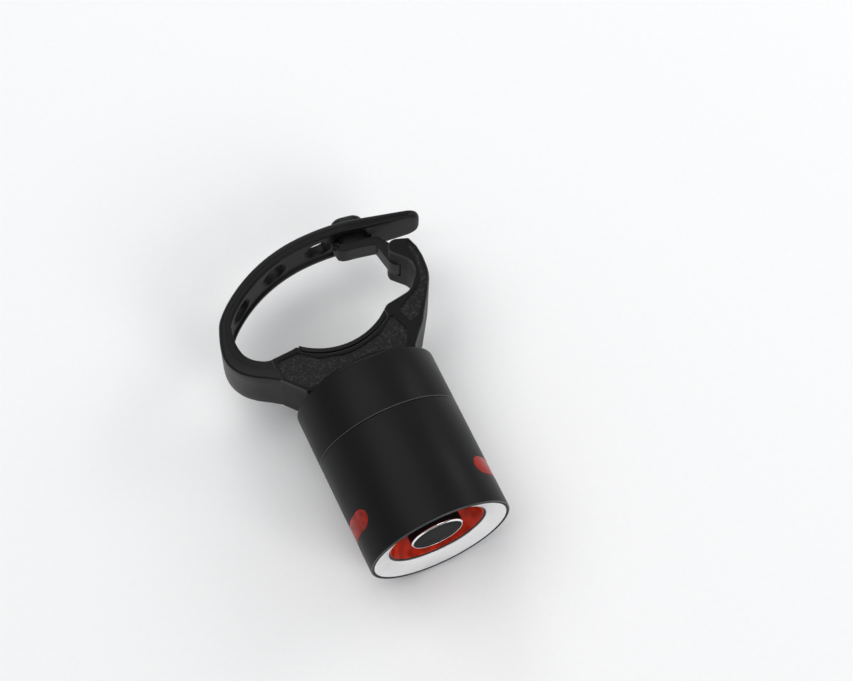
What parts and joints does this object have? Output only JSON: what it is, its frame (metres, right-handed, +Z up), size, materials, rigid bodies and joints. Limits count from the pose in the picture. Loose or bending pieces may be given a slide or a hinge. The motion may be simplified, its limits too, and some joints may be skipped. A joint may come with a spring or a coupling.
{
  "type": "bicycle rear light",
  "caption": "Cylindrical rear bicycle light with a red lens and push button in front, red side windows, and a saddle bracket with a rubber strap that hooks onto a catch.",
  "frame": {"origin": "centre of the seat post that the saddle fits, halfway across the bracket's width", "axes": "+Z up along the seat post, -Y the way the light shines, -X the strap's root, +X the catch arm"},
  "size_m": [0.0463, 0.0688, 0.0286],
  "materials": {
    "bracket_plastic": "fine-grained matt black",
    "rubber": "smooth black rubber",
    "black_anodised": "satin black anodised",
    "catch_plastic": "black moulded",
    "steel": "plain",
    "silver": "turned silver",
    "gasket": "matt black",
    "red_lens": "clear red, glossy",
    "white_plastic": "bright white",
    "button_black": "satin black",
    "bright_ring": "polished",
    "brass": "plain",
    "board_green": "circuit board",
    "led_white": "LED body",
    "cell_wrap": "shrink wrap",
    "flex_film": "amber film"
  },
  "bodies": {
    "mount": {"bracket": "bracket_plastic", "saddle_pad": "rubber", "rear_cap": "black_anodised", "cap_screws": "steel", "strap_anchor": "rubber", "strap_pin": "steel", "catch_pin": "steel"},
    "strap": {"strap": "rubber"},
    "catch": {"catch_plate": "catch_plastic", "catch_stud": "catch_plastic"},
    "seal": {"neck_seal": "rubber"},
    "head": {"barrel": "black_anodised", "bezel_ring": "silver", "lens_gasket": "gasket", "front_lens": "red_lens", "side_lens_right": "red_lens", "side_lens_left": "red_lens", "reflector": "white_plastic", "button_seal": "gasket", "tact_switch": "catch_plastic", "led_board": "board_green", "leds": "led_white", "cell_cradle": "bracket_plastic", "battery": "cell_wrap", "flex_cable": "flex_film", "main_board": "board_green", "board_chips": "catch_plastic", "board_screws": "steel", "charge_socket": "steel", "tail_plug": "black_anodised"},
    "button": {"button_cap": "button_black", "button_trim": "bright_ring", "switch_plunger": "brass"}
  },
  "joints": [
    {"name": "strap_open", "type": "hinge", "parent": "mount", "child": "strap", "pos_m": [-0.01891, 0.00137, 0], "axis": [0, 0, 1], "range_deg": [0, 40], "stiffness_Nm_per_rad": 0.006},
    {"name": "catch_swing", "type": "hinge", "parent": "mount", "child": "catch", "pos_m": [0.01695, 0.00101, 0], "axis": [0, 0, 1], "range_deg": [0, 40]},
    {"name": "head_travel", "type": "slide", "parent": "mount", "child": "seal", "axis": [0, -1, 0], "range_m": [0, 0.005]},
    {"name": "head_turn", "type": "hinge", "parent": "seal", "child": "head", "pos_m": [0, -0.0208, 0], "axis": [0, -1, 0], "range_deg": [0, 1440]},
    {"name": "button_press", "type": "slide", "parent": "head", "child": "button", "axis": [0, 1, 0], "range_m": [0, 0.0006], "stiffness_N_per_m": 1500}
  ],
  "couplings": [
    {"joint": "catch_swing", "follows": "strap_open", "ratio": 1},
    {"joint": "head_travel", "follows": "head_turn", "m_per_rad": 0.00019894}
  ]
}
